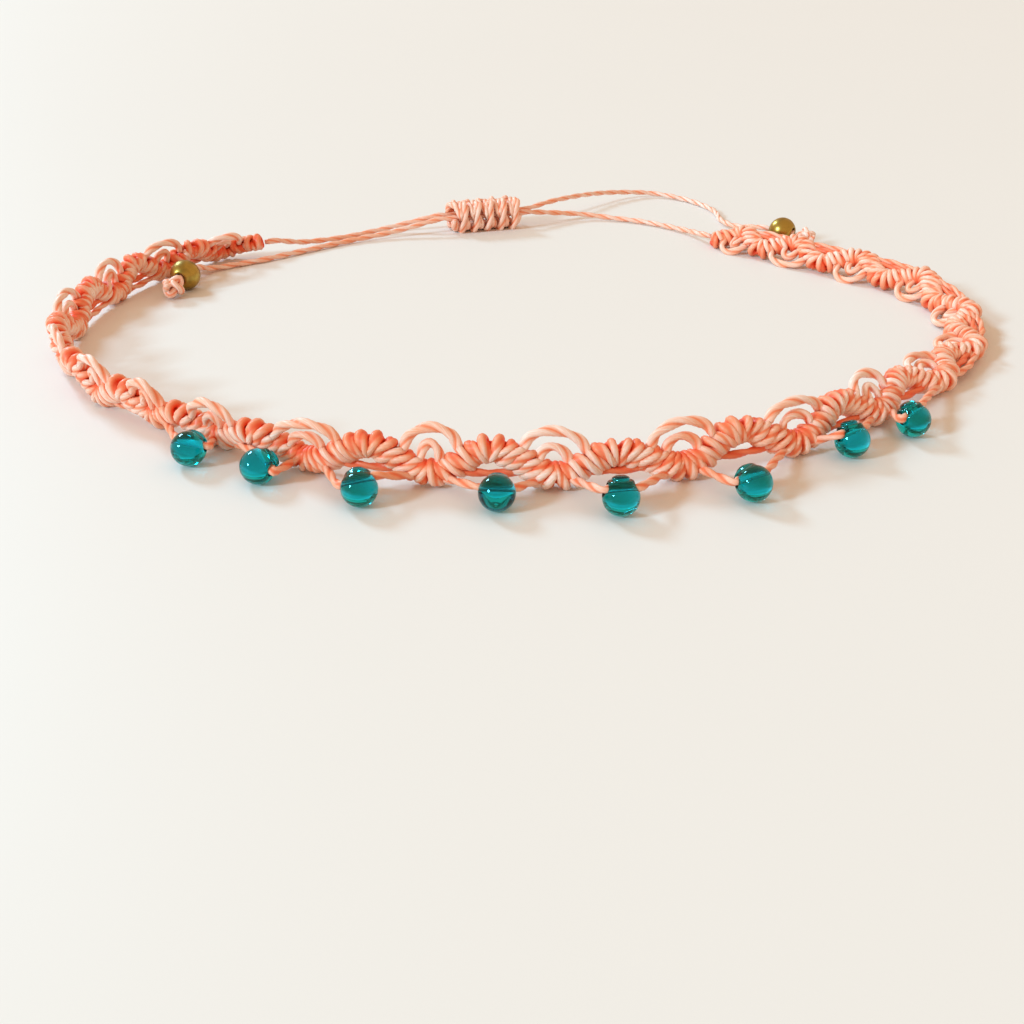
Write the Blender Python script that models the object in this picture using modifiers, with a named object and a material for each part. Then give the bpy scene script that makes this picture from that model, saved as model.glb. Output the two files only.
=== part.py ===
"""Adjustable anklet in knotted waxed cord: a wavy band with glass drops along its front edge, two tie
cords with a sliding knot at the back, and a round brass bead with an end knot on each tie.
It lies on a level surface. X runs to the right, Y to the back where the ties are, and Z up."""

import math

import bmesh
import bpy
from mathutils import Matrix, Vector

MM = 0.001

# Cord and band
CORD = 0.72 * MM  # thickness of the waxed cord as knotted
RIB = 2.1 * MM  # thickness of a rib: a core with hitches wrapped round it
RIB_RISE = 1.5 * MM  # height of a rib's crest above its trough, across the band
INNER_ARC = 2.25 * MM  # height of the inner bare arc above the troughs
OUTER_ARC = 3.35 * MM  # height of the outer bare arc above the troughs
THREAD = 0.45 * MM  # thickness of the bead thread, which the drops squeeze
THREAD_DIP = 0.6 * MM  # how far the bead thread runs below the troughs where it has no drop
THREAD_SINK = 0.3 * MM  # how far below the middle of a trough the thread runs through the rib
OUTER_FOOT = RIB_RISE + CORD / 4  # height at which the outer arcs spring from the crests
INNER_FOOT = RIB_RISE - CORD / 3
ARC_ROUNDNESS = 0.75  # below 1 an arc rises steeply at its feet and is flatter on top
CLEARANCE = 0.3 * MM  # gap between pieces that touch on the real thing

# Glass drops
DROP = 2.8 * MM  # width of a drop
DROP_TIP = 1.6 * MM  # from the middle of the bulb to the top of the tip
DROP_TIP_WIDTH = 1.3 * MM
DROP_TIP_ROUND = 0.2 * MM  # how far the tip is rounded over
DROP_NECK = 0.08 * MM  # how far the neck swells beyond a straight line from bulb to tip
DROP_SHOULDER = math.radians(38)  # where the bulb passes into the neck
DROP_HOLE = 1.0 * MM
DROP_HOLE_UP = 0.7 * MM  # height of the hole above the middle of the bulb

# Sliding knot, brass beads and end knots
KNOT_LENGTH = 9.3 * MM
KNOT_WIDTH = 4.5 * MM
KNOT_HEIGHT = 3.6 * MM
KNOT_TURNS = 5
KNOT_HOLE = CORD + 2 * CLEARANCE
KNOT_WALL = 0.4 * MM  # between the two cord holes
KNOT_WAIST = 0.84  # width between two turns as a share of the full width
BRASS = 3.25 * MM
BRASS_HOLE = CORD + 2 * CLEARANCE
END_KNOT = 2.7 * MM
END_KNOT_LENGTH = 2.6 * MM
# Outline of an end knot from its outer end: share of the half length, and share of the half width
END_KNOT_OUTLINE = [
    (1.0, 0.0), (0.96, 0.62), (0.62, 1.0), (0.22, 0.94), (0.0, 0.86), (-0.3, 0.96), (-0.7, 0.92), (-0.96, 0.55),
    (-1.0, 0.0),
]

# Middle of the plan below, in millimetres; it comes to the origin
PLAN_MIDDLE = (1.435, 0.285)
# Plan of the band's lower edge in millimetres, from its left end round the front to its right end
BAND_ROUTE = [
    (-30.2, 25.6), (-34.4, 23.2), (-38.6, 17.2), (-41.8, 9.8), (-43.3, 0.8), (-42.0, -8.6),
    (-37.1, -17.0), (-30.4, -22.6), (-23.1, -27.4), (-15.1, -31.8), (-6.2, -34.0), (3.1, -34.4),
    (12.4, -33.0), (22.0, -29.0), (29.9, -23.3), (36.3, -17.8), (42.0, -11.2), (45.7, -2.8),
    (46.1, 5.4), (43.2, 12.6), (38.3, 18.2), (33.0, 23.2), (28.0, 28.3), (25.8, 30.4),
]
# Lengths of the 21 hand-knotted waves, as shares of their mean, from left to right
WAVES = [
    1.06, 0.87, 0.99, 1.21, 1.09, 0.83, 0.77, 0.86, 1.12, 1.03, 1.07, 1.12, 1.19, 1.05, 1.13, 1.07,
    1.03, 0.99, 0.94, 0.87, 0.74,
]
# How steeply the band stands: crest counted from its left end, and degrees up from lying inwards
LEAN = [
    (0.0, 30), (1.0, 55), (2.0, 95), (4.0, 105), (5.5, 104), (7.0, 112), (8.2, 108), (9.0, 88), (9.5, 78),
    (12.5, 72), (13.5, 50), (14.5, 24), (15.5, 0), (16.5, -20), (17.5, -32), (20.0, -32), (21.0, -16),
]
# Glass drops: crest that it hangs at, place of the bulb in millimetres, and the way its tip points,
# in degrees round from the band's inward side and up from the surface
DROPS = [
    {"crest": 7, "at": (-25.3, -30.4), "turn": 10, "up": 16},
    {"crest": 8, "at": (-19.3, -33.5), "turn": -25, "up": 14},
    {"crest": 9, "at": (-11.2, -37.1), "turn": 25, "up": 35},
    {"crest": 10, "at": (-1.1, -37.8), "turn": 0, "up": 12},
    {"crest": 11, "at": (7.9, -38.5), "turn": 0, "up": 72},
    {"crest": 12, "at": (17.9, -36.3), "turn": 5, "up": 18},
    {"crest": 13, "at": (27.0, -28.9), "turn": -10, "up": 62},
    {"crest": 14, "at": (32.98, -25.06), "turn": 10, "up": 60},
]
# Middle of the sliding knot in millimetres, and its turn from the X axis in degrees
KNOT_AT = (-3.7, 37.2)
KNOT_TURN = 17
# Routes of the ties in millimetres, outside the sliding knot, each from its band end
TIE_LEFT_BEFORE = [(-25.0, 28.6, 0.7), (-20.0, 32.2, 0.4), (-14.8, 35.2, 0.8)]
TIE_LEFT_AFTER = [
    (5.4, 42.6, 2.1), (9.6, 46.8, 1.8), (13.8, 50.6, 1.2), (18.8, 52.8, 0.6), (22.4, 51.4, 0.4),
    (25.2, 48.2, 0.36), (26.9, 43.9, 0.36), (27.1, 39.4, 0.4), (28.3, 35.2, 0.8),
]
TIE_RIGHT_BEFORE = [(21.6, 34.6, 0.5), (17.6, 38.4, 0.36), (13.4, 40.4, 0.4), (8.6, 41.0, 0.8)]
TIE_RIGHT_AFTER = [
    (-14.6, 32.8, 0.8), (-19.8, 30.2, 0.4), (-25.2, 25.8, 0.36), (-28.9, 22.6, 0.36),
    (-31.9, 20.6, 0.36), (-34.4, 18.4, 0.6),
]
# Brass beads: middle in millimetres and the way the cord runs out through it, in degrees from the X axis
BRASS_LEFT = {"at": (-35.8, 12.7), "heading": -101}
BRASS_RIGHT = {"at": (33.0, 30.0), "heading": -36}

# Facets
PLAN_SPACING = 0.25 * MM
CURVE_STEPS = 24
MERGE = 0.01 * MM
RIB_RINGS = 8
ARC_RINGS = 8
DROP_STEPS = 14
BULB_STEPS = 6
BEAD_STEPS = 16
BEAD_RINGS = 8
END_KNOT_STEPS = 10
TIE_SPACING = 1.9 * MM
THREAD_SPACING = 1.2 * MM


def clear_scene():
    for item in list(bpy.data.objects):
        bpy.data.objects.remove(item, do_unlink=True)


def new_collection(name):
    made = bpy.data.collections.new(name)
    bpy.context.scene.collection.children.link(made)
    return made


def material(name, colour, roughness, metallic=0.0, transmission=0.0):
    made = bpy.data.materials.new(name)
    made.use_nodes = True
    shader = made.node_tree.nodes["Principled BSDF"]
    shader.inputs["Base Color"].default_value = (*colour, 1.0)
    shader.inputs["Roughness"].default_value = roughness
    shader.inputs["Metallic"].default_value = metallic
    shader.inputs["Transmission Weight"].default_value = transmission
    made.diffuse_color = (*colour, 1.0)
    return made


def add_object(name, data, collection, finish=None):
    made = bpy.data.objects.new(name, data)
    collection.objects.link(made)
    if finish:
        data.materials.append(finish)
    return made


def as_helper(item):
    item.hide_render = True
    item.display_type = "WIRE"
    return item


def plan(x, y, z=0.0):
    """A place in space for a place of the plan in millimetres."""
    return Vector((x - PLAN_MIDDLE[0], y - PLAN_MIDDLE[1], z)) * MM


def smooth_route(points, spacing):
    """Points about one spacing apart on a smooth curve through the given points.

    From one given point to the next the curve's slope turns from the one point's to the other's. A point's
    slope is half the way from the point before it to the point after it."""
    points = [Vector(p) for p in points]
    ends = [2 * points[0] - points[1], *points, 2 * points[-1] - points[-2]]
    fine = []
    for before, start, end, after in zip(ends, ends[1:], ends[2:], ends[3:]):
        slope_at_start = (end - before) / 2
        slope_at_end = (after - start) / 2
        for k in range(CURVE_STEPS):
            u = k / CURVE_STEPS
            share_of_end = u * u * (3 - 2 * u)
            leave = u * (1 - u) ** 2 * slope_at_start
            arrive = u * u * (1 - u) * slope_at_end
            fine.append(start.lerp(end, share_of_end) + leave - arrive)
    fine.append(points[-1])
    return evenly(fine, spacing)


def evenly(fine, spacing):
    """The same line with its points the same distance apart."""
    lengths = [0.0]
    for a, b in zip(fine, fine[1:]):
        lengths.append(lengths[-1] + (b - a).length)
    count = max(2, round(lengths[-1] / spacing))
    line = []
    at = 0
    for k in range(count + 1):
        want = lengths[-1] * k / count
        while at < len(fine) - 2 and lengths[at + 1] < want:
            at += 1
        step = lengths[at + 1] - lengths[at]
        line.append(fine[at].lerp(fine[at + 1], (want - lengths[at]) / step))
    return line


def tube(name, points, width, collection, sides=8, radii=None):
    """A round cord along the points, with filled ends."""
    curve = bpy.data.curves.new(name, "CURVE")
    curve.dimensions = "3D"
    curve.bevel_depth = width / 2
    curve.bevel_resolution = (sides - 4) // 2
    curve.use_fill_caps = True
    spline = curve.splines.new("POLY")
    spline.points.add(len(points) - 1)
    for i, (point, place) in enumerate(zip(spline.points, points)):
        point.co = (*place, 1.0)
        point.radius = radii[i] if radii else 1.0
    return add_object(name, curve, collection)


def as_mesh(item, finish=None):
    """The curve object made a closed mesh object of the same name."""
    name = item.name
    collection = item.users_collection[0]
    bpy.context.view_layer.update()
    mesh = bpy.data.meshes.new_from_object(item.evaluated_get(bpy.context.evaluated_depsgraph_get()))
    build = bmesh.new()
    build.from_mesh(mesh)
    bmesh.ops.remove_doubles(build, verts=build.verts, dist=0.002 * MM)
    bmesh.ops.recalc_face_normals(build, faces=build.faces)
    build.to_mesh(mesh)
    build.free()
    place = item.matrix_world.copy()
    bpy.data.objects.remove(item, do_unlink=True)
    mesh.materials.clear()
    made = add_object(name, mesh, collection, finish)
    made.matrix_world = place
    mesh.shade_smooth()
    return made


def combine(item, other, operation):
    modifier = item.modifiers.new(operation.title() + " " + other.name, "BOOLEAN")
    modifier.operation = operation
    modifier.solver = "EXACT"
    modifier.object = as_helper(other)


class Band:
    """Turns a place on the flat band into a place in space."""

    def __init__(self):
        self.line = smooth_route([plan(*place) for place in BAND_ROUTE], PLAN_SPACING)
        total = sum(WAVES)
        self.crests = [0.0]
        for length in WAVES:
            self.crests.append(self.crests[-1] + length / total)

    def share(self, wave, part):
        """Share of the band's length at a part of a wave, counted from 0."""
        if wave >= len(WAVES):
            return 1.0
        return self.crests[wave] + (self.crests[wave + 1] - self.crests[wave]) * part

    def frame(self, share):
        """The lower edge's place, its direction, the inward side and the band's upward side."""
        at = min(max(share, 0.0), 1.0) * (len(self.line) - 1)
        i = min(int(at), len(self.line) - 2)
        place = self.line[i].lerp(self.line[i + 1], at - i)
        a, b = max(i - 3, 0), min(i + 4, len(self.line) - 1)
        along = (self.line[b] - self.line[a]).normalized()
        inward = Vector((-along.y, along.x, 0.0))
        lean = math.radians(self.lean(share))
        rise = math.sin(lean)
        place.z = max(RIB / 2, RIB / 2 - RIB_RISE * rise, CORD / 2 - OUTER_ARC * rise)
        return place, along, inward, math.cos(lean) * inward + rise * Vector((0, 0, 1))

    def lean(self, share):
        """Degrees that the band stands up from the surface."""
        for (a, low), (b, high) in zip(LEAN, LEAN[1:]):
            start, end = self.share(int(a), a % 1), self.share(int(b), b % 1)
            if share <= end:
                return low + (high - low) * max(share - start, 0.0) / (end - start)
        return LEAN[-1][1]

    def place(self, share, up):
        place, _, _, upward = self.frame(share)
        return place + up * upward


def rib_height(part):
    """Height of the rib's middle, which falls from a crest to the trough and climbs to the next."""
    return RIB_RISE * (1 + math.cos(2 * math.pi * part)) / 2


def arc_height(part, top, foot):
    """Height of a bare arc that springs from the crests and is level over the trough."""
    return foot + (top - foot) * math.sin(math.pi * part) ** ARC_ROUNDNESS


def band_tube(name, band, height, rings, width, sides, collection):
    points = []
    for wave in range(len(WAVES)):
        for k in range(rings):
            part = k / rings
            points.append(band.place(band.share(wave, part), height(part)))
    points.append(band.place(1.0, height(1.0)))
    return as_mesh(tube(name, points, width, collection, sides))


def drop_axes(band, drop):
    """Middle of a drop's bulb, the way its tip points and the way its hole runs."""
    _, along, inward, _ = band.frame(band.crests[drop["crest"]])
    turn, up = math.radians(drop["turn"]), math.radians(drop["up"])
    level = math.cos(turn) * inward - math.sin(turn) * along
    tip = math.cos(up) * level + math.sin(up) * Vector((0, 0, 1))
    before = band.place(band.share(drop["crest"] - 1, 0.5), 0.0)
    after = band.place(band.share(drop["crest"], 0.5), 0.0)
    hole = (after - before).normalized()
    hole = (hole - hole.dot(tip) * tip).normalized()
    return plan(*drop["at"]) + Vector((0, 0, DROP / 2)), tip, hole


def thread_tube(band, collection):
    """The bead thread: through the ribs at the troughs, and below each crest or through its drop."""
    drops = {drop["crest"]: drop for drop in DROPS}
    line = []
    marks = [band.place(0.0, RIB_RISE / 2)]
    for wave in range(len(WAVES)):
        marks.append(band.place(band.share(wave, 0.5), -THREAD_SINK))
        crest = wave + 1
        if crest in drops:
            middle, tip, hole = drop_axes(band, drops[crest])
            through = middle + DROP_HOLE_UP * tip
            half = DROP / 2 + 2 * CLEARANCE
            line += smooth_route([*marks, through - half * hole], THREAD_SPACING)
            marks = [through + half * hole]
        elif crest < len(WAVES):
            marks.append(band.place(band.crests[crest], -THREAD_DIP))
    marks.append(band.place(1.0, RIB_RISE / 2))
    line += smooth_route(marks, THREAD_SPACING)
    return as_mesh(tube("bead_thread", line, THREAD, collection, 6))


def make_band(band, parts, helpers, finish):
    ribs = band_tube("band", band, rib_height, RIB_RINGS, RIB, 8, parts)
    ribs.data.materials.append(finish)
    outer = band_tube(
        "outer_arcs", band, lambda part: arc_height(part, OUTER_ARC, OUTER_FOOT), ARC_RINGS, CORD, 6, helpers
    )
    inner = band_tube(
        "inner_arcs", band, lambda part: arc_height(part, INNER_ARC, INNER_FOOT), ARC_RINGS, CORD, 6, helpers
    )
    thread = thread_tube(band, helpers)
    for piece in (outer, inner, thread):
        combine(ribs, piece, "UNION")
    return ribs


def turned(name, profile, steps, collection, finish):
    """A shape turned round Z from a profile of (radius, height) that runs down its outer side."""
    mesh = bpy.data.meshes.new(name)
    build = bmesh.new()
    ring = [build.verts.new((radius, 0.0, height)) for radius, height in profile]
    for a, b in zip(ring, ring[1:]):
        build.edges.new((a, b))
    if profile[0][0] > 0:
        build.edges.new((ring[-1], ring[0]))
    build.to_mesh(mesh)
    build.free()
    made = add_object(name, mesh, collection, finish)
    screw = made.modifiers.new("Turn", "SCREW")
    screw.steps = steps
    screw.render_steps = steps
    screw.use_merge_vertices = True
    screw.merge_threshold = MERGE
    screw.use_smooth_shade = True
    return made


def drop_profile():
    """Half outline of a drop, from the tip down round the bulb."""
    bulb = DROP / 2
    tip = DROP_TIP_WIDTH / 2
    points = [(0.0, DROP_TIP), (tip * 0.7, DROP_TIP - DROP_TIP_ROUND / 5), (tip, DROP_TIP - DROP_TIP_ROUND)]
    neck = (tip + bulb * math.cos(DROP_SHOULDER)) / 2 + DROP_NECK
    points.append((neck, (DROP_TIP + bulb * math.sin(DROP_SHOULDER)) / 2))
    lowest = math.radians(-74)
    for k in range(BULB_STEPS + 1):
        angle = DROP_SHOULDER + (lowest - DROP_SHOULDER) * k / BULB_STEPS
        points.append((bulb * math.cos(angle), bulb * math.sin(angle)))
    points.append((0.0, -bulb))
    return points


def axes_matrix(x, z, place):
    """A placing whose X and Z axes point the given ways."""
    z = z.normalized()
    x = (x - x.dot(z) * z).normalized()
    return Matrix.Translation(place) @ Matrix((x, z.cross(x), z)).transposed().to_4x4()


def rod(name, width, length, place, collection, sides=12):
    """A round cutter along the local X axis of a placing."""
    mesh = bpy.data.meshes.new(name)
    build = bmesh.new()
    bmesh.ops.create_cone(
        build, cap_ends=True, segments=sides, radius1=width / 2, radius2=width / 2, depth=length
    )
    build.transform(place @ Matrix.Rotation(math.radians(90), 4, "Y"))
    build.to_mesh(mesh)
    build.free()
    return add_object(name, mesh, collection)


def make_drops(band, parts, helpers, finish):
    for number, drop in enumerate(DROPS, 1):
        middle, tip, hole = drop_axes(band, drop)
        place = axes_matrix(hole, tip, middle)
        bead = turned(f"drop_bead_{number}", drop_profile(), DROP_STEPS, parts, finish)
        bead.matrix_world = place
        through = place @ Matrix.Translation((0, 0, DROP_HOLE_UP))
        combine(bead, rod(f"drop_hole_{number}", DROP_HOLE, 2 * DROP, through, helpers), "DIFFERENCE")


def knot_matrix():
    turn = Matrix.Rotation(math.radians(KNOT_TURN), 4, "Z")
    return Matrix.Translation(plan(*KNOT_AT) + Vector((0, 0, KNOT_HEIGHT / 2))) @ turn


def knot_passage(side):
    """Shift of a cord hole from the sliding knot's middle: 1 is the back one and -1 the front one."""
    return side * (KNOT_HOLE + KNOT_WALL) / 2


def make_sliding_knot(parts, helpers, finish):
    points, radii = [], []
    rings = 4 * KNOT_TURNS  # four to a turn
    for k in range(rings + 1):
        u = k / rings
        points.append(Vector(((u - 0.5) * KNOT_LENGTH, 0, 0)))
        swell = abs(math.sin(math.pi * KNOT_TURNS * u))
        radii.append(KNOT_WAIST + (1 - KNOT_WAIST) * swell)
    knot = as_mesh(tube("sliding_knot", points, KNOT_WIDTH, parts, 12, radii), finish)
    knot.data.transform(Matrix.Diagonal((1, 1, KNOT_HEIGHT / KNOT_WIDTH, 1)))
    knot.matrix_world = knot_matrix()
    for name, side in (("back", 1), ("front", -1)):
        place = knot_matrix() @ Matrix.Translation((0, knot_passage(side), 0))
        combine(knot, rod(f"knot_hole_{name}", KNOT_HOLE, 2 * KNOT_LENGTH, place, helpers), "DIFFERENCE")


def bead_matrix(bead):
    """Placing of a brass bead, whose local Z runs along its hole."""
    heading = math.radians(bead["heading"])
    out = Vector((math.cos(heading), math.sin(heading), 0.0))
    return axes_matrix(Vector((0, 0, 1)), out, plan(*bead["at"]) + Vector((0, 0, BRASS / 2)))


def make_brass_bead(name, bead, parts, finish):
    flat = math.asin(BRASS_HOLE / BRASS)
    profile = []
    for k in range(BEAD_RINGS + 1):
        angle = math.pi / 2 - flat - (math.pi - 2 * flat) * k / BEAD_RINGS
        profile.append((BRASS / 2 * math.cos(angle), BRASS / 2 * math.sin(angle)))
    turned(name, profile, BEAD_STEPS, parts, finish).matrix_world = bead_matrix(bead)


def make_end_knot(name, bead, parts, finish):
    """The knot that stops a brass bead: two turns of cord pulled into a lump, beyond the bead."""
    half = END_KNOT_LENGTH / 2
    profile = [(END_KNOT / 2 * width, half * height) for height, width in END_KNOT_OUTLINE]
    lump = turned(name, profile, END_KNOT_STEPS, parts, finish)
    beyond = BRASS / 2 * math.cos(math.asin(BRASS_HOLE / BRASS)) + CLEARANCE + half
    rest = END_KNOT / 2 - BRASS / 2
    lump.matrix_world = Matrix.Translation((0, 0, rest)) @ bead_matrix(bead) @ Matrix.Translation((0, 0, beyond))


def tie_points(band, share, before, side, after, bead):
    """Route of a tie: out of the band's end, through the sliding knot, and through its brass bead."""
    end, along, _, upward = band.frame(share)
    out = -along if share < 0.5 else along
    start = end + RIB_RISE * upward + 1.5 * CLEARANCE * out
    knot = knot_matrix()
    inner = 1 if side < 0 else -1
    mouth = KNOT_LENGTH / 2 + 2 * CORD
    passage = []
    for x in (mouth, KNOT_LENGTH / 2, 0.0, -KNOT_LENGTH / 2, -mouth):
        passage.append(knot @ Vector((inner * x, knot_passage(side), 0)))
    hole = bead_matrix(bead)
    stop = BRASS / 2 * math.cos(math.asin(BRASS_HOLE / BRASS))
    to_knot = [plan(*place) for place in before]
    beyond = [plan(*place) for place in after]
    finish = [hole @ Vector((0, 0, -stop - 2 * CORD)), hole @ Vector((0, 0, -stop)), hole @ Vector((0, 0, stop))]
    return [start, start + 2 * CORD * out, *to_knot, *passage, *beyond, *finish]


def make_tie(name, points, parts, finish):
    route = smooth_route(points, TIE_SPACING)
    for place in route:
        place.z = max(place.z, CORD / 2)
    tie = tube(name, route, CORD, parts, 8)
    tie.data.materials.append(finish)


def main():
    clear_scene()
    parts = new_collection("beaded_anklet")
    helpers = new_collection("cutters_and_joiners")
    coral = material("waxed_cord", (0.86, 0.34, 0.24), 0.6)
    glass = material("teal_glass", (0.0, 0.32, 0.35), 0.05, transmission=0.8)
    brass = material("antique_brass", (0.36, 0.24, 0.07), 0.35, metallic=1.0)
    band = Band()
    make_band(band, parts, helpers, coral)
    make_drops(band, parts, helpers, glass)
    make_sliding_knot(parts, helpers, coral)
    make_brass_bead("brass_bead_left", BRASS_LEFT, parts, brass)
    make_brass_bead("brass_bead_right", BRASS_RIGHT, parts, brass)
    make_end_knot("end_knot_left", BRASS_LEFT, parts, coral)
    make_end_knot("end_knot_right", BRASS_RIGHT, parts, coral)
    left = tie_points(band, 0.0, TIE_LEFT_BEFORE, 1, TIE_LEFT_AFTER, BRASS_RIGHT)
    right = tie_points(band, 1.0, TIE_RIGHT_BEFORE, -1, TIE_RIGHT_AFTER, BRASS_LEFT)
    make_tie("tie_left", left, parts, coral)
    make_tie("tie_right", right, parts, coral)


main()
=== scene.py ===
"""Adjustable anklet knotted in coral waxed cord: an openwork wavy band with teal glass drops along its
front edge, a sliding knot at the back, and a brass bead with an end knot on each tie.

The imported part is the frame. Lengths in the tables are millimetres of its plan, and MM makes them metres."""
import math
import random

import bmesh
import bpy
from mathutils import Matrix, Vector


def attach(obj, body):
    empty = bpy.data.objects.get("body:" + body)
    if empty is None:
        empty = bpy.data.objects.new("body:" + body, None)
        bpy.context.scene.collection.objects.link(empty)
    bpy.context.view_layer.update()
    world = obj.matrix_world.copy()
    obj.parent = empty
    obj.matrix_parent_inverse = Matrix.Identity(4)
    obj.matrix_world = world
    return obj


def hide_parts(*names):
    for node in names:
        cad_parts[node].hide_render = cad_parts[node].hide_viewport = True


MM = 0.001

# Sizes of the pieces, as in the part's source
CORD = 0.72 * MM
RIB = 2.1 * MM
RIB_RISE = 1.5 * MM
OUTER_ARC = 3.35 * MM
CLEARANCE = 0.3 * MM
DROP = 2.8 * MM
DROP_TIP = 1.6 * MM
DROP_TIP_WIDTH = 1.3 * MM
DROP_HOLE_UP = 0.7 * MM
KNOT_LENGTH = 9.3 * MM
KNOT_WIDTH = 4.5 * MM
KNOT_HEIGHT = 3.6 * MM
KNOT_WALL = 0.4 * MM
BRASS = 3.25 * MM
END_KNOT = 2.7 * MM
END_KNOT_LENGTH = 2.6 * MM
HOLE = CORD + 2 * CLEARANCE

PLAN_MIDDLE = (1.435, 0.285)
BAND_ROUTE = [
    (-30.2, 25.6), (-34.4, 23.2), (-38.6, 17.2), (-41.8, 9.8), (-43.3, 0.8), (-42.0, -8.6),
    (-37.1, -17.0), (-30.4, -22.6), (-23.1, -27.4), (-15.1, -31.8), (-6.2, -34.0), (3.1, -34.4),
    (12.4, -33.0), (22.0, -29.0), (29.9, -23.3), (36.3, -17.8), (42.0, -11.2), (45.7, -2.8),
    (46.1, 5.4), (43.2, 12.6), (38.3, 18.2), (33.0, 23.2), (28.0, 28.3), (25.8, 30.4),
]
WAVES = [
    1.06, 0.87, 0.99, 1.21, 1.09, 0.83, 0.77, 0.86, 1.12, 1.03, 1.07, 1.12, 1.19, 1.05, 1.13, 1.07,
    1.03, 0.99, 0.94, 0.87, 0.74,
]
# Crest counted from the left end, and degrees that the band stands up from lying inwards
LEAN = [
    (0.0, 30), (1.0, 55), (2.0, 95), (4.0, 105), (5.5, 104), (7.0, 112), (8.2, 108), (9.0, 88),
    (9.5, 78), (12.5, 72), (13.5, 50), (14.5, 24), (15.5, 0), (16.5, -20), (17.5, -32),
    (20.0, -32), (21.0, -16),
]
DROPS = [
    {"crest": 7, "at": (-25.3, -30.4), "turn": 10, "up": 16},
    {"crest": 8, "at": (-19.3, -33.5), "turn": -25, "up": 14},
    {"crest": 9, "at": (-11.2, -37.1), "turn": 25, "up": 35},
    {"crest": 10, "at": (-1.1, -37.8), "turn": 0, "up": 12},
    {"crest": 11, "at": (7.9, -38.5), "turn": 0, "up": 72},
    {"crest": 12, "at": (17.9, -36.3), "turn": 5, "up": 18},
    {"crest": 13, "at": (27.0, -28.9), "turn": -10, "up": 62},
    {"crest": 14, "at": (32.98, -25.06), "turn": 10, "up": 60},
]
KNOT_AT = (-3.7, 37.2)
KNOT_TURN = 17
TIE_LEFT_BEFORE = [(-25.0, 28.6, 0.7), (-20.0, 32.2, 0.4), (-14.8, 35.2, 0.8)]
TIE_LEFT_AFTER = [
    (5.4, 42.6, 2.1), (9.6, 46.8, 1.8), (13.8, 50.6, 1.2), (18.8, 52.8, 0.6), (22.4, 51.4, 0.4),
    (25.2, 48.2, 0.36), (26.9, 43.9, 0.36), (27.1, 39.4, 0.4), (28.3, 35.2, 0.8),
]
TIE_RIGHT_BEFORE = [(21.6, 34.6, 0.5), (17.6, 38.4, 0.36), (13.4, 40.4, 0.4), (8.6, 41.0, 0.8)]
TIE_RIGHT_AFTER = [
    (-14.6, 32.8, 0.8), (-19.8, 30.2, 0.4), (-25.2, 25.8, 0.36), (-28.9, 22.6, 0.36),
    (-31.9, 20.6, 0.36), (-34.4, 18.4, 0.6),
]
BRASS_LEFT = {"at": (-35.8, 12.7), "heading": -101}
BRASS_RIGHT = {"at": (33.0, 30.0), "heading": -36}

# Looks of the cord, with its width in each kind of knotting, where it is loose or pulled tight
PLY_SPREAD = 0.32  # how far each of its two plies lies from its middle, as a share of its radius
LAY = 4.6 * MM  # length in which the plies go once round each other
HITCH_CORD = 0.92 * MM
OUTER_ARC_CORD = 0.90 * MM
INNER_ARC_CORD = 0.86 * MM
HOLDING_CORD = 0.70 * MM
RIB_CORD = 0.95 * MM
CLOSURE_CORD = 0.9 * MM
STOPPER_CORD = 0.84 * MM

# The photograph's camera
CAMERA_BACK = 115  # millimetres in front of the plan's origin
CAMERA_UP = 42.4  # millimetres above the table
CAMERA_PITCH = 28.884  # degrees downwards
CAMERA_LENS = 42.19


# ---- places ----
def plan(x, y, z=0.0):
    return Vector((x - PLAN_MIDDLE[0], y - PLAN_MIDDLE[1], z)) * MM


def curve_through(points, steps=24):
    """Fine points on a smooth curve through the given ones."""
    points = [Vector(p) for p in points]
    ends = [2 * points[0] - points[1], *points, 2 * points[-1] - points[-2]]
    fine = []
    for a, b, c, d in zip(ends, ends[1:], ends[2:], ends[3:]):
        square = 2 * a - 5 * b + 4 * c - d
        cube = 3 * b - a - 3 * c + d
        for k in range(steps):
            u = k / steps
            fine.append(0.5 * (2 * b + (c - a) * u + square * u**2 + cube * u**3))
    fine.append(points[-1])
    return fine


def evenly(fine, spacing):
    """Points at even distances along a line of fine points."""
    lengths = [0.0]
    for a, b in zip(fine, fine[1:]):
        lengths.append(lengths[-1] + (b - a).length)
    count = max(2, round(lengths[-1] / spacing))
    line = []
    at = 0
    for k in range(count + 1):
        want = lengths[-1] * k / count
        while at < len(fine) - 2 and lengths[at + 1] < want:
            at += 1
        share = (want - lengths[at]) / (lengths[at + 1] - lengths[at])
        line.append(fine[at].lerp(fine[at + 1], share))
    return line


def smooth_route(points, spacing):
    return evenly(curve_through(points), spacing)


def length_of(line):
    return sum((b - a).length for a, b in zip(line, line[1:]))


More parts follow.
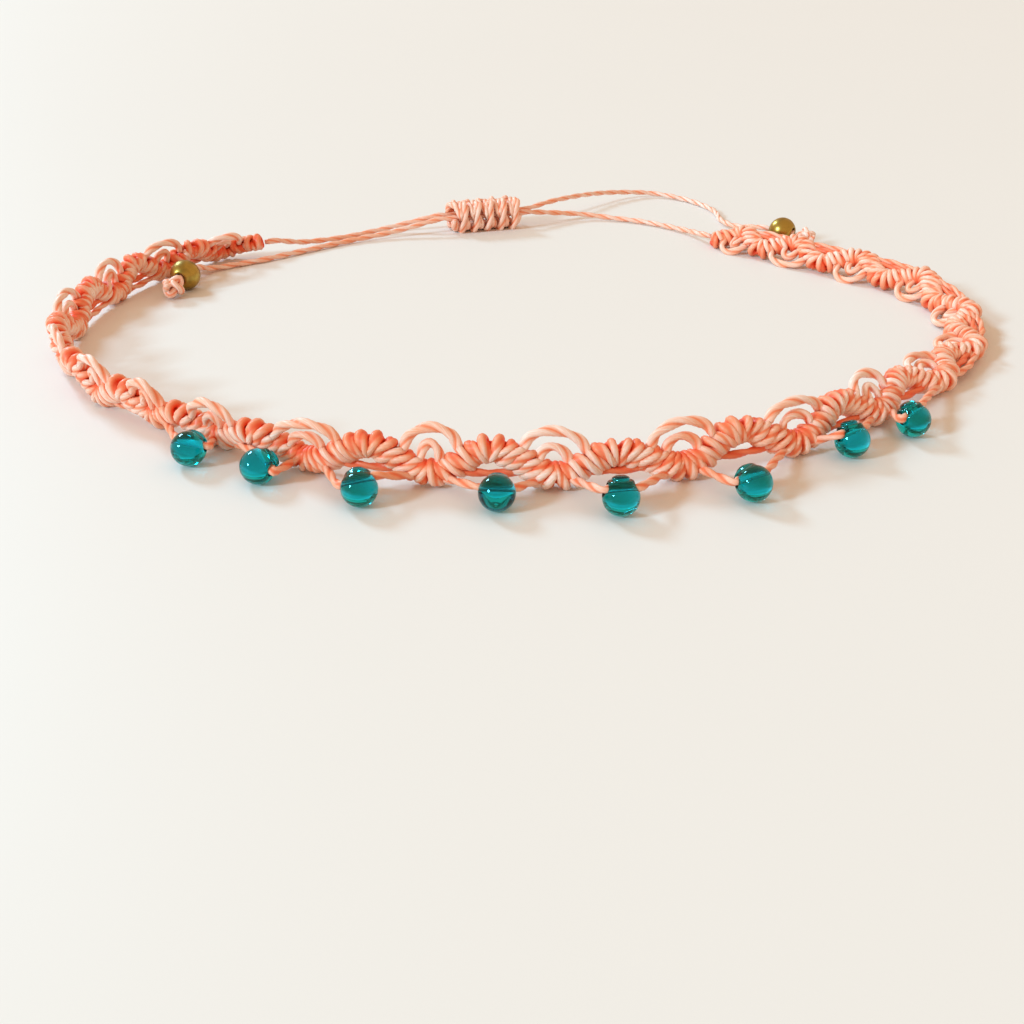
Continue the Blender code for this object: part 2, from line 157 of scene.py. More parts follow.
class Band:
    """Turns a place on the flat band into a place in space."""

    def __init__(self):
        self.line = smooth_route([plan(*place) for place in BAND_ROUTE], 0.25 * MM)
        total = sum(WAVES)
        self.crests = [0.0]
        for wave in WAVES:
            self.crests.append(self.crests[-1] + wave / total)

    def share(self, wave, part):
        """Share of the band's length at a part of a wave."""
        if wave >= len(WAVES):
            return 1.0
        return self.crests[wave] + (self.crests[wave + 1] - self.crests[wave]) * part

    def lean(self, share):
        """Degrees that the band stands up there."""
        for (a, low), (b, high) in zip(LEAN, LEAN[1:]):
            start, end = self.share(int(a), a % 1), self.share(int(b), b % 1)
            if share <= end:
                return low + (high - low) * max(share - start, 0.0) / (end - start)
        return LEAN[-1][1]

    def frame(self, share):
        """The band's middle there, its direction, the way inwards and the way up across it."""
        at = min(max(share, 0.0), 1.0) * (len(self.line) - 1)
        i = min(int(at), len(self.line) - 2)
        place = self.line[i].lerp(self.line[i + 1], at - i)
        a, b = max(i - 3, 0), min(i + 4, len(self.line) - 1)
        along = (self.line[b] - self.line[a]).normalized()
        inward = Vector((-along.y, along.x, 0.0))
        lean = math.radians(self.lean(share))
        rise = math.sin(lean)
        place.z = max(RIB / 2, RIB / 2 - RIB_RISE * rise, CORD / 2 - OUTER_ARC * rise)
        return place, along, inward, math.cos(lean) * inward + rise * Vector((0, 0, 1))

    def place(self, share, up, out=0.0):
        """A place at a height across the band, and so far out from its middle to its outer side."""
        place, along, _, upward = self.frame(share)
        return place + up * upward + out * along.cross(upward)


# ---- the flat band's own lines, counted in waves from the left end ----
RISE = 1.95 * MM  # height of the rib's middle at a crest
DIP = 0.08 * MM  # and at a trough
CREST_LIFT = {6: -0.3, 7: -0.75, 8: -0.4, 9: 0.05, 10: 0.15, 11: -0.35, 12: 0.10}  # millimetres
RIB_HALF_UP = 1.12 * MM  # from the rib's middle to the hitches' tops, and to their outer sides
RIB_HALF_OUT = 0.95 * MM
CREVICE = 0.62  # up to this share of those distances the cord takes the full painted shade of the rib's crevices
CREVICE_DEPTH = 0.40  # and the painted shade fades over this share
LAST = len(WAVES)


def share_at(band, at):
    wave = min(max(int(at), 0), LAST - 1)
    return band.share(wave, at - wave)


def crest_height(crest):
    return RISE + CREST_LIFT.get(crest, 0.0) * MM


def rib_level(at):
    wave = min(max(int(at), 0), LAST - 1)
    part = at - wave
    crest = crest_height(wave if part < 0.5 else wave + 1)
    return DIP + (crest - DIP) * (1 + math.cos(2 * math.pi * part)) / 2


def rib_place(band, at):
    return band.place(share_at(band, at), rib_level(at))


def rib_axes(band, at):
    """The rib's middle, its direction, its upper side across the band, and its outer side."""
    here = rib_place(band, at)
    step = 0.02
    ahead, behind = rib_place(band, min(at + step, LAST)), rib_place(band, max(at - step, 0.0))
    along = (ahead - behind).normalized()
    upward = band.frame(share_at(band, at))[3]
    upward = (upward - upward.dot(along) * along).normalized()
    return here, along, upward, along.cross(upward)


# ---- cord ----
def add_object(name, data):
    made = bpy.data.objects.new(name, data)
    bpy.context.scene.collection.objects.link(made)
    return made


def mesh_of(item):
    """The finished mesh of an object, which is removed."""
    bpy.context.view_layer.update()
    done = item.evaluated_get(bpy.context.evaluated_depsgraph_get())
    mesh = bpy.data.meshes.new_from_object(done)
    bpy.data.objects.remove(item, do_unlink=True)
    return mesh


def ply_outline(width, sides, spread=PLY_SPREAD):
    """Outline across a cord whose two plies lie side by side, and how far out each corner lies."""
    shift = width / 2 * spread
    ply = width / 2 - shift
    outline = bpy.data.curves.new("ply_outline", "CURVE")
    spline = outline.splines.new("POLY")
    spline.points.add(sides - 1)
    reach = []
    for k, point in enumerate(spline.points):
        angle = 2 * math.pi * k / sides
        far = shift * abs(math.cos(angle)) + math.sqrt(ply**2 - (shift * math.sin(angle)) ** 2)
        point.co = (far * math.cos(angle), far * math.sin(angle), 0.0, 1.0)
        reach.append(2 * far / width)
    spline.use_cyclic_u = True
    least = min(reach)
    return add_object("ply_outline", outline), [(far - least) / (1 - least) for far in reach]


class Run:
    """One length of cord: its places, their swell and the twist that it starts with."""

    def __init__(self, places, phase=0.0, swell=None, heart=None, light_share=1.0):
        self.places = places
        self.phase = phase
        self.swell = swell or [1.0] * len(places)
        self.heart = heart
        # Share of the body colour at each place: below 1 the colour goes towards the deep red painted shade
        self.light_share = light_share if isinstance(light_share, list) else [light_share] * len(places)


def cord_piece(name, runs, finish, width=CORD, sides=12, lay=LAY, spread=PLY_SPREAD):
    """Twisted cord along the runs as one closed mesh. Its attributes lay, ply and depth say where on the
    twist, the plies and the rib a corner lies, and one more says how much of the body colour it keeps against
    the painted shade."""
    outline, reach = ply_outline(width, sides, spread)
    curve = bpy.data.curves.new(name, "CURVE")
    curve.dimensions = "3D"
    curve.twist_mode = "MINIMUM"
    curve.bevel_mode = "OBJECT"
    curve.bevel_object = outline
    curve.use_fill_caps = True
    rings = []
    for run in runs:
        spline = curve.splines.new("POLY")
        spline.points.add(len(run.places) - 1)
        gone = 0.0
        for i, (point, place) in enumerate(zip(spline.points, run.places)):
            if i:
                gone += (place - run.places[i - 1]).length
            point.co = (*place, 1.0)
            point.radius = run.swell[i]
            point.tilt = run.phase + 2 * math.pi * gone / lay
            rings.append((run, run.phase + gone / MM, run.light_share[i]))
    mesh = mesh_of(add_object(name, curve))
    bpy.data.objects.remove(outline, do_unlink=True)
    # The mesh has the end caps first, from the last run to the first, then the rings in their order
    firsts = [i for i, ring in enumerate(rings) if i == 0 or ring[0] is not rings[i - 1][0]]
    lasts = [i - 1 for i in firsts[1:]] + [len(rings) - 1]
    caps = [rings[i] for pair in reversed(list(zip(lasts, firsts))) for i in pair]
    corners = [math.tau * k / sides for k in range(sides)]
    lays, depth, light_shares = [], [], []
    for number, (run, gone, light_share) in enumerate(caps + rings):
        for k, angle in enumerate(corners):
            lays += [math.cos(angle), math.sin(angle), gone]
            # How far out from the rib's heart the corner lies: the crevices near the heart take the painted
            # shade
            far = 1.0
            if run.heart:
                here, upward, outward = run.heart
                away = mesh.vertices[number * sides + k].co - here
                far = math.hypot(away.dot(upward) / RIB_HALF_UP, away.dot(outward) / RIB_HALF_OUT)
                far = min(max((far - CREVICE) / CREVICE_DEPTH, 0.0), 1.0)
            depth.append(far)
            light_shares.append(light_share)
    plies = reach * (len(caps) + len(rings))
    for title, values in (("ply", plies), ("depth", depth), ("light_share", light_shares)):
        mesh.attributes.new(title, "FLOAT", "POINT").data.foreach_set("value", values)
    mesh.attributes.new("lay", "FLOAT_VECTOR", "POINT").data.foreach_set("vector", lays)
    return finished(name, mesh, finish)


def finished(name, mesh, finish, sharp=None):
    """The mesh made a closed, smooth piece with its faces outwards."""
    build = bmesh.new()
    build.from_mesh(mesh)
    bmesh.ops.remove_doubles(build, verts=build.verts, dist=0.001 * MM)
    bmesh.ops.recalc_face_normals(build, faces=build.faces)
    build.to_mesh(mesh)
    build.free()
    mesh.materials.clear()
    mesh.materials.append(finish)
    mesh.shade_smooth()
    if sharp:
        mesh.set_sharp_from_angle(angle=math.radians(sharp))
    return add_object(name, mesh)


# ---- knotting ----
HITCHES = random.Random(21)
HITCH_PITCH = 0.70 * MM  # room that each hitch takes along the rib
HITCH_POINTS = 25
HITCH_TURN = 230  # degrees that a hitch runs round the rib, to each side of its outer side
TUCK_FROM = 185  # degrees beyond which its ends sink behind the rib
HITCH_SQUARE = 0.85  # below 1, the hitch is squarer than an ellipse
HITCH_LEAN = {1: 0.46, -1: 0.38}  # millimetres that its top leans, on the way down and on the way up
JOIN_TURN = 78  # degrees at which an arc leaves the hitch that ends it
JOIN_POINTS = 17
ARC_FEET = {"outer": 0.3, "inner": 0.6}  # where an arc starts, as a share of the way down the rib
ARC_TOPS = {"outer": 3.45 * MM, "inner": 2.3 * MM}
BRIDGE_POINTS = 10


def hitch(band, at, hand, start=-HITCH_TURN, end=HITCH_TURN, points=HITCH_POINTS):
    """Places of a hitch round the rib, from one angle to another: 0 is its outer side and 90 its top.
    The hand is 1 where the rib goes down from a crest and -1 where it goes up to one. With the places come the
    rib's heart there, how much of the body colour each place keeps against the painted shade, which is deeper
    on the hitch's upper side and most in the wave's hollow, and the angles."""
    here, along, upward, outward = rib_axes(band, at)
    wide = 1.0 + HITCHES.uniform(-0.05, 0.09)
    slope = abs(math.sin(2 * math.pi * at)) ** 0.6
    lean = (HITCH_LEAN[hand] + HITCHES.uniform(-0.10, 0.10)) * slope
    raised = HITCHES.uniform(-0.06, 0.06) * MM * upward
    here = here + raised + HITCHES.uniform(-0.05, 0.05) * MM * outward
    up = (RIB_HALF_UP - (0.44 - 0.06 * slope) * MM) * wide
    out = (RIB_HALF_OUT - 0.38 * MM) * wide
    spread = HITCH_PITCH * (0.25 + 0.55 * slope)
    hollow = math.exp(-((at % 1 - 0.5) / 0.12) ** 2)
    places, light_shares, angles = [], [], []
    for k in range(points):
        angle = math.radians(start + (end - start) * k / (points - 1))
        rise, reach = math.sin(angle), math.cos(angle)
        # Painted shade: less of the body colour on the hitch's upper side, least of all in the wave's hollow
        light_shares.append(1.0 - (0.50 + 0.45 * hollow) * max(rise, 0.0) ** 1.3)
        tucked = (abs(math.degrees(angle)) - TUCK_FROM) / (HITCH_TURN - TUCK_FROM)
        tuck = 1.0 - 0.6 * min(max(tucked, 0.0), 1.0)
        slide = hand * (lean * rise * MM + spread * angle / (2 * math.pi))
        rise = math.copysign(abs(rise) ** HITCH_SQUARE, rise) * up * tuck
        reach = math.copysign(abs(reach) ** HITCH_SQUARE, reach) * out * tuck
        places.append(here + rise * upward + reach * outward + slide * along)
        angles.append(angle)
    return places, (here, upward, outward), light_shares, angles


def arc_run(band, at, to, top):
    """A bare arc over a wave's hollow, with the hitches that end it at both feet."""
    left = hitch(band, at, 1, -HITCH_TURN, JOIN_TURN, JOIN_POINTS)[0]
    right = hitch(band, to, -1, JOIN_TURN, -HITCH_TURN, JOIN_POINTS)[0]
    top *= 1 + HITCHES.uniform(-0.03, 0.05)
    a, b = left[-1], right[0]
    half_way = share_at(band, (at + to) / 2)
    middle = band.place(half_way, top)
    upward = band.frame(half_way)[3]
    rise = (middle - (a + b) / 2).dot(upward) * upward
    inwards = middle - (a + b) / 2 - rise
    bridge = []
    for k in range(1, BRIDGE_POINTS):
        u = k / BRIDGE_POINTS
        arch = math.sin(math.pi * u) ** 0.5
        bridge.append(a.lerp(b, u) + arch * rise + math.sin(math.pi * u) * inwards)
    places = evenly(curve_through([*left, *bridge, *right], 6), 0.2 * MM)
    # The arcs take a touch of the deep red painted shade
    return Run(places, HITCHES.uniform(0, 2 * math.pi), light_share=0.95)


def knotting(band):
    """Runs of the hitches, and of the outer and inner arcs with the hitches that end them."""
    hitches = []
    feet = {}
    for wave in range(LAST):
        for hand in (1, -1):
            a, b = (wave, wave + 0.5) if hand > 0 else (wave + 0.5, wave + 1)
            marks = [rib_place(band, a + (b - a) * k / 8) for k in range(9)]
            count = max(5, round(length_of(marks) / HITCH_PITCH))
            arcs_start = {int(foot * count): arc for arc, foot in ARC_FEET.items()}
            for k in range(count):
                at = a + (b - a) * (k + 0.5) / count
                from_crest = k if hand > 0 else count - 1 - k
                if from_crest in arcs_start:
                    feet[wave, hand, arcs_start[from_crest]] = at
                    continue
                places, heart, light_shares, angles = hitch(band, at, hand)
                plump = HITCHES.uniform(0.95, 1.08)
                fan = 0.20 * math.cos(2 * math.pi * at)
                swell = [plump * (1.0 + fan * math.sin(angle)) for angle in angles]
                hitches.append(Run(places, HITCHES.uniform(0, 2 * math.pi), swell, heart, light_shares))
    arcs = {"outer": [], "inner": []}
    for (wave, hand, arc), at in feet.items():
        if hand > 0:
            arcs[arc].append(arc_run(band, at, feet[wave, -1, arc], ARC_TOPS[arc]))
    return hitches, arcs["outer"], arcs["inner"]


def holding_run(band):
    """The cord inside the rib's foot, which shows between the hitches."""
    places = []
    for k in range(LAST * 8 + 1):
        at = k / 8
        level = (0.36 - 0.10 * math.cos(2 * math.pi * at)) * MM
        places.append(band.place(share_at(band, at), level, 0.12 * MM))
    # Painted shade: the holding cord keeps little of its body colour where it shows under the hitches
    return Run(smooth_route(places, 0.3 * MM), light_share=0.35)


def core_run(band):
    """The cord that the hitches are tied round."""
    places = [rib_place(band, k / 12) for k in range(LAST * 12 + 1)]
    # Painted shade: the core is nearly all deep red where it shows between the hitches
    return Run(smooth_route(places, 0.35 * MM), light_share=0.15)


# ---- drops ----
def drop_axes(band, drop):
    """A drop's middle, the way to its tip and the way along its hole."""
    _, along, inward, _ = band.frame(band.crests[drop["crest"]])
    turn, up = math.radians(drop["turn"]), math.radians(drop["up"])
    level = math.cos(turn) * inward - math.sin(turn) * along
    tip = math.cos(up) * level + math.sin(up) * Vector((0, 0, 1))
    before = band.place(band.share(drop["crest"] - 1, 0.5), 0.0)
    after = band.place(band.share(drop["crest"], 0.5), 0.0)
    hole = (after - before).normalized()
    hole = (hole - hole.dot(tip) * tip).normalized()
    return plan(*drop["at"]) + Vector((0, 0, DROP / 2)), tip, hole


def thread_run(band):
    """The thread along the band's outer edge, through the drops."""
    drops = {drop["crest"]: drop for drop in DROPS}
    marks = [band.place(0.0, RIB_RISE / 2)]
    for wave in range(LAST):
        for part in (0.40, 0.60):
            marks.append(band.place(band.share(wave, part), -0.25 * MM, 0.1 * MM))
        crest = wave + 1
        if crest in drops:
            middle, tip, hole = drop_axes(band, drops[crest])
            through = middle + DROP_HOLE_UP * tip
            for k in (-1.1, -0.6, 0, 0.6, 1.1):
                marks.append(through + k * DROP / 2 * hole)
        elif crest < LAST:
            marks.append(band.place(band.crests[crest], -0.45 * MM))
    marks.append(band.place(1.0, RIB_RISE / 2))
    places = smooth_route(marks, 0.3 * MM)
    for place in places:
        place.z = max(place.z, 0.32 * MM)
    # The thread takes some of the deep red painted shade
    return Run(places, light_share=0.7)


def axes_matrix(x, z, place):
    """Places a piece with its Z along one way and its X as near as can be to another."""
    z = z.normalized()
    x = (x - x.dot(z) * z).normalized()
    return Matrix.Translation(place) @ Matrix((x, z.cross(x), z)).transposed().to_4x4()


def spun(name, profile, steps, closed=False):
    """A mesh turned round Z from a profile of (radius, height)."""
    build = bmesh.new()
    ring = [build.verts.new((radius, 0.0, height)) for radius, height in profile]
    pairs = list(zip(ring, ring[1:]))
    if closed:
        pairs.append((ring[-1], ring[0]))
    edges = [build.edges.new(pair) for pair in pairs]
    bmesh.ops.spin(
        build, geom=ring + edges, cent=(0, 0, 0), axis=(0, 0, 1), dvec=(0, 0, 0),
        angle=2 * math.pi, steps=steps, use_merge=True, use_duplicate=False,
    )
    bmesh.ops.remove_doubles(build, verts=build.verts, dist=0.001 * MM)
    bmesh.ops.recalc_face_normals(build, faces=build.faces)
    mesh = bpy.data.meshes.new(name)
    build.to_mesh(mesh)
    build.free()
    return mesh


def drop_profile():
    """Half the outline of a drop, from its tip to the bottom of its bulb."""
    bulb, tip = DROP / 2, DROP_TIP_WIDTH / 2
    shoulder = math.radians(38)
    marks = [
        (tip * 0.62, DROP_TIP), (tip * 0.95, DROP_TIP - 0.12 * MM), (tip * 1.08, DROP_TIP - 0.34 * MM),
        ((tip + bulb * math.cos(shoulder)) / 2 + 0.06 * MM, (DROP_TIP + bulb * math.sin(shoulder)) / 2),
    ]
    for k in range(9):
        angle = shoulder - (shoulder + math.pi / 2) * k / 8
        marks.append((bulb * math.cos(angle), bulb * math.sin(angle)))
    fine = curve_through([Vector((r, h, 0)) for r, h in marks], 4)
    profile = [(0.0, DROP_TIP + 0.02 * MM), (tip * 0.3, DROP_TIP + 0.01 * MM)]
    profile += [(max(p.x, 0.0), p.y) for p in fine[:-1]]
    profile.append((0.0, -bulb))
    return profile


def make_drop(name, band, drop, finish):
    """A glass drop with its hole cut through, flared at both mouths."""
    middle, tip, hole = drop_axes(band, drop)
    body = add_object(name, spun(name, drop_profile(), 48))
    bore = []
    for k in range(13):
        u = k / 6 - 1
        bore.append(((0.42 + 0.5 * abs(u) ** 5) * MM, u * DROP * 0.62))
    cutter = add_object("bore", spun("bore", [(0.0, bore[0][1]), *bore, (0.0, bore[-1][1])], 28))
    lying = Matrix.Rotation(math.radians(90), 4, "Y")
    cutter.data.transform(Matrix.Translation((0, 0, DROP_HOLE_UP)) @ lying)
    cut = body.modifiers.new("Bore", "BOOLEAN")
    cut.operation = "DIFFERENCE"
    cut.solver = "EXACT"
    cut.object = cutter
    mesh = mesh_of(body)
    bpy.data.objects.remove(cutter, do_unlink=True)
    mesh.transform(axes_matrix(hole, tip, middle))
    return finished(name, mesh, finish, sharp=35)


# ---- sliding knot, ties, brass beads, end knots ----
def knot_matrix():
    turn = Matrix.Rotation(math.radians(KNOT_TURN), 4, "Z")
    return Matrix.Translation(plan(*KNOT_AT) + Vector((0, 0, KNOT_HEIGHT / 2))) @ turn


def knot_passage(side):
    return side * (HOLE + KNOT_WALL) / 2


HALF_KNOTS = 10
CLOSURE_STEPS = 16
# A loop at the closure's side: millimetres along it, then shares of its half width and half height
LOOP_MARKS = [
    (-0.3, 0.35, -1.05), (-0.28, 0.8, -0.98), (-0.12, 1.02, -0.55), (0, 1.08, 0),
    (0.12, 1.02, 0.55), (0.28, 0.8, 0.98), (0.3, 0.35, 1.05),
]


def sliding_knot_runs():
    """Two working cords that cross over and under the ties, and the loops at both sides."""
    place = knot_matrix()
    length = KNOT_LENGTH - CLOSURE_CORD
    width = KNOT_WIDTH / 2 - 0.46 * MM
    height = KNOT_HEIGHT / 2 - 0.42 * MM
    over, under = [], []
    for k in range(HALF_KNOTS * CLOSURE_STEPS + 1):
        u = k / CLOSURE_STEPS
        x = (u / HALF_KNOTS - 0.5) * length
        side = math.cos(math.pi * u)
        lift = abs(math.sin(math.pi * u)) ** 0.6
        over.append(place @ Vector((x, width * side, height * lift)))
        under.append(place @ Vector((x, -width * side, -height * lift)))
    loops = []
    for k in range(HALF_KNOTS):
        side = -1 if k % 2 else 1
        x = ((k + 0.5) / HALF_KNOTS - 0.5) * length
        tall = (0.94 if k % 2 == 0 else 1.06) + 0.12 * k / HALF_KNOTS
        marks = []
        for dx, y, z in LOOP_MARKS:
            marks.append(place @ Vector((x + dx * MM, side * y * width, z * height * tall)))
        loops.append(Run(smooth_route(marks, 0.2 * MM), k))
    return [Run(over), Run(under, 1.0)], loops


def bead_matrix(bead):
    """Places a brass bead on the table with its hole along its heading."""
    heading = math.radians(bead["heading"])
    out = Vector((math.cos(heading), math.sin(heading), 0.0))
    return axes_matrix(Vector((0, 0, 1)), out, plan(*bead["at"]) + Vector((0, 0, BRASS / 2)))


def bead_stop():
    """Distance from a brass bead's middle to the mouth of its hole."""
    return BRASS / 2 * math.cos(math.asin(HOLE / BRASS))


def tie_route(band, share, before, side, after, bead):
    """A tie's middle line from the band's end through the closure to the far mouth of its bead."""
    end, along, _, upward = band.frame(share)
    out = -along if share < 0.5 else along
    start = end + RIB_RISE * upward + 1.5 * CLEARANCE * out
    knot = knot_matrix()
    inner = 1 if side < 0 else -1
    mouth = KNOT_LENGTH / 2 + 2 * CORD
    passage = []
    for x in (mouth, KNOT_LENGTH / 2, 0.0, -KNOT_LENGTH / 2, -mouth):
        passage.append(knot @ Vector((inner * x, knot_passage(side), 0)))
    hole = bead_matrix(bead)
    stop = bead_stop()
    to_knot = [plan(*place) for place in before]
    beyond = [plan(*place) for place in after]
    finish = [hole @ Vector((0, 0, z)) for z in (-stop - 2 * CORD, -stop, stop)]
    marks = [start, start + 2 * CORD * out, *to_knot, *passage, *beyond, *finish]
    route = smooth_route(marks, 0.5 * MM)
    for place in route:
        place.z = max(place.z, CORD / 2)
    return route


def make_brass_bead(name, bead, finish):
    """A round bead with a straight hole whose mouths are eased."""
    profile = []
    inner = HOLE / 2 * 0.86
    flat = math.asin(2 * inner / BRASS) + 0.10
    for k in range(25):
        angle = math.pi / 2 - flat - (math.pi - 2 * flat) * k / 24
        profile.append((BRASS / 2 * math.cos(angle), BRASS / 2 * math.sin(angle)))
    edge = profile[-1][1]
    mouth, throat = edge * 0.985, edge * 0.90
    profile += [(inner * 1.1, mouth), (inner, throat), (inner, 0.0), (inner, -throat), (inner * 1.1, -mouth)]
    mesh = spun(name, profile, 40, closed=True)
    mesh.transform(bead_matrix(bead))
    return finished(name, mesh, finish, sharp=50)


def end_knot_run(bead):
    """An overhand knot pulled tight beyond the bead, with its cut end."""
    half = END_KNOT_LENGTH / 2
    beyond = bead_stop() + CLEARANCE + half
    rest = END_KNOT / 2 - BRASS / 2
    place = Matrix.Translation((0, 0, rest)) @ bead_matrix(bead) @ Matrix.Translation((0, 0, beyond))
    marks = [Vector((0, 0, -half)), Vector((0.05 * MM, 0.0, -half * 0.72))]
    turns = 26
    for k in range(turns + 1):
        t = 2 * math.pi * (0.06 + 0.90 * k / turns)
        swing = 0.68 + 0.28 * math.cos(3 * t)
        climb = 0.60 * math.sin(3 * t) + 0.16 * (k / turns - 0.5)
        marks.append(Vector((swing * math.cos(2 * t), swing * math.sin(2 * t), climb)) * MM)
    marks.append(Vector((0.25 * MM, 0.3 * MM, half * 0.55)))
    marks.append(Vector((0.1 * MM, 0.25 * MM, half * 0.98)))
    return Run(smooth_route([place @ mark for mark in marks], 0.22 * MM), 0.4)


# ---- finishes ----
class Wire:
    """A socket of a finish's nodes. Sums and products of wires add their Math nodes."""

    def __init__(self, paint, socket):
        self.paint = paint
        self.socket = socket

    def maths(self, operation, a, b):
        return self.paint.node("ShaderNodeMath", {"operation": operation}, {0: a, 1: b})

    def __add__(self, other):
        return self.maths("ADD", self, other)

    def __mul__(self, other):
        return self.maths("MULTIPLY", self, other)

    __radd__ = __add__
    __rmul__ = __mul__

    def between(self, low, high):
        """0 below low and 1 above high."""
        return self.paint.node("ShaderNodeMapRange", {"clamp": True}, {0: self, 1: low, 2: high})


class Paint:
    """A finish: its material, its Principled shader and the nodes that feed it."""

    def __init__(self, name, **settings):
        self.material = bpy.data.materials.new(name)
        self.material.use_nodes = True
        self.tree = self.material.node_tree
        self.shader = self.tree.nodes["Principled BSDF"]
        for title, value in settings.items():
            self.shader.inputs[title.replace("_", " ")].default_value = value

    def node(self, kind, settings, values, out=0):
        made = self.tree.nodes.new(kind)
        for title, value in settings.items():
            setattr(made, title, value)
        for title, value in values.items():
            self.put(made.inputs[title], value)
        return Wire(self, made.outputs[out])

    def put(self, socket, value):
        if isinstance(value, Wire):
            self.tree.links.new(value.socket, socket)
        elif isinstance(value, tuple) and len(value) == 3 and socket.type == "RGBA":
            socket.default_value = (*value, 1.0)
        else:
            socket.default_value = value

    def feed(self, title, value):
        self.put(self.shader.inputs[title], value)

    def attribute(self, name, out="Fac"):
        return self.node("ShaderNodeAttribute", {"attribute_name": name}, {}, out)

    def places(self):
        return self.node("ShaderNodeTexCoord", {}, {}, "Object")

    def scaled(self, vector, scale):
        return self.node("ShaderNodeMapping", {}, {"Vector": vector, "Scale": scale})

    def noise(self, vector, scale, detail=2.0):
        values = {"Vector": vector, "Scale": scale, "Detail": detail}
        return self.node("ShaderNodeTexNoise", {}, values)

    def mix(self, share, a, b):
        return self.node("ShaderNodeMix", {"data_type": "RGBA"}, {0: share, 6: a, 7: b}, 2)

    def bump(self, height, strength, distance):
        values = {"Strength": strength, "Distance": distance, "Height": height}
        self.feed("Normal", self.node("ShaderNodeBump", {}, values))

    def absorb(self, colour, density):
        """Lets the inside of clear glass take away more light the farther the light goes through it."""
        depths = self.node("ShaderNodeVolumeAbsorption", {}, {"Color": colour, "Density": density})
        self.put(self.tree.nodes["Material Output"].inputs["Volume"], depths)


def waxed_cord(name, painted_shade, body, painted_highlight):
    """Waxed polyester cord with painted shade between plies and hitches and a painted highlight on crowns."""
    paint = Paint(name, Coat_Roughness=0.3, IOR=1.45)
    fibre = paint.noise(paint.scaled(paint.attribute("lay", "Vector"), (4.5, 4.5, 0.9)), 1.0, 3.0)
    mottle = paint.noise(paint.places(), 420.0, 2.0)
    broad = paint.noise(paint.places(), 55.0, 1.0)
    ply = paint.attribute("ply").between(0.0, 0.75)
    depth = paint.attribute("depth")
    light_share = paint.attribute("light_share")
    # Painted shade: the colour goes to deep red between the two plies, near the rib's heart and where a run
    # keeps less of its body colour
    unshaded_share = (0.42 + 0.58 * ply) * depth * light_share
    colour = paint.mix(unshaded_share.between(0.0, 0.75), painted_shade, body)
    # Painted highlight: pale pink on the outer crowns, broken up by fibre, mottle and broad noise
    fine = mottle.between(0.30, 0.65) * 0.35 + fibre.between(0.42, 0.66) * 0.45
    highlight_patches = fine + broad.between(0.35, 0.65) * 0.35
    colour = paint.mix(highlight_patches * unshaded_share.between(0.45, 0.92), colour, painted_highlight)
    paint.feed("Base Color", colour)
    paint.feed("Roughness", 0.45 + 0.2 * fibre)
    paint.feed("Coat Weight", 0.12 + 0.2 * mottle)
    paint.bump(fibre, 0.5, 0.07 * MM)
    return paint.material


def teal_glass():
    """Clear glass with painted shade towards the top and a painted cyan glow towards the bottom, by height
    above the table, with a slight swirl.
    """
    paint = Paint("teal_glass", IOR=1.5, Transmission_Weight=1.0)
    paint.feed("Specular Tint", (0.25, 0.9, 1.0))
    paint.absorb((0.0, 0.84, 0.885), 1150.0)
    swirl = paint.noise(paint.places(), 520.0, 2.0)
    height = paint.node("ShaderNodeSeparateXYZ", {}, {"Vector": paint.places()}, 2)
    # Painted light: bright cyan low down and dark teal high up, by height above the table, broken by the swirl
    shade_by_height_and_swirl = height.between(0.8 * MM, 3.0 * MM) * 0.9 + swirl.between(0.35, 0.65) * 0.25
    colour = paint.mix(shade_by_height_and_swirl.between(0.1, 1.0), (0.02, 0.96, 1.0), (0.0, 0.42, 0.42))
    paint.feed("Base Color", colour)
    paint.feed("Roughness", 0.01 + 0.03 * swirl)
    paint.bump(swirl, 0.06, 0.05 * MM)
    return paint.material


def antique_brass():
    paint = Paint("antique_brass", Metallic=1.0)
    patina = paint.noise(paint.places(), 900.0, 4.0)
    cloud = paint.noise(paint.places(), 260.0, 2.0)
    dark = patina.between(0.45, 0.7) * 0.5 + cloud.between(0.4, 0.7) * 0.5
    paint.feed("Base Color", paint.mix(dark, (0.50, 0.33, 0.07), (0.12, 0.075, 0.015)))
    paint.feed("Roughness", 0.25 + 0.3 * dark)
    paint.bump(patina, 0.15, 0.03 * MM)
    return paint.material


def pale_surface():
    paint = Paint("pale_surface", Roughness=0.55)
    cloud = paint.noise(paint.places(), 14.0)
    paint.feed("Base Color", paint.mix(cloud, (0.80, 0.79, 0.765), (0.81, 0.80, 0.775)))
    return paint.material


# ---- set ----
def make_camera():
    data = bpy.data.cameras.new("camera")
    data.sensor_fit = "HORIZONTAL"
    data.sensor_width = 36.0
    data.lens = CAMERA_LENS
    data.clip_start = 0.001
    data.clip_end = 20.0
    camera = add_object("camera", data)
    camera.location = plan(0.0, -CAMERA_BACK, CAMERA_UP)
    camera.rotation_euler = (math.radians(90 - CAMERA_PITCH), 0.0, 0.0)
    bpy.context.scene.camera = camera


def make_light(name, place, size, power, colour):
    data = bpy.data.lights.new(name, "AREA")
    data.shape = "DISK"
    data.size = size
    data.energy = power
    data.color = colour
    light = add_object(name, data)
    light.location = place
    light.rotation_euler = (-Vector(place)).to_track_quat("-Z", "Y").to_euler()


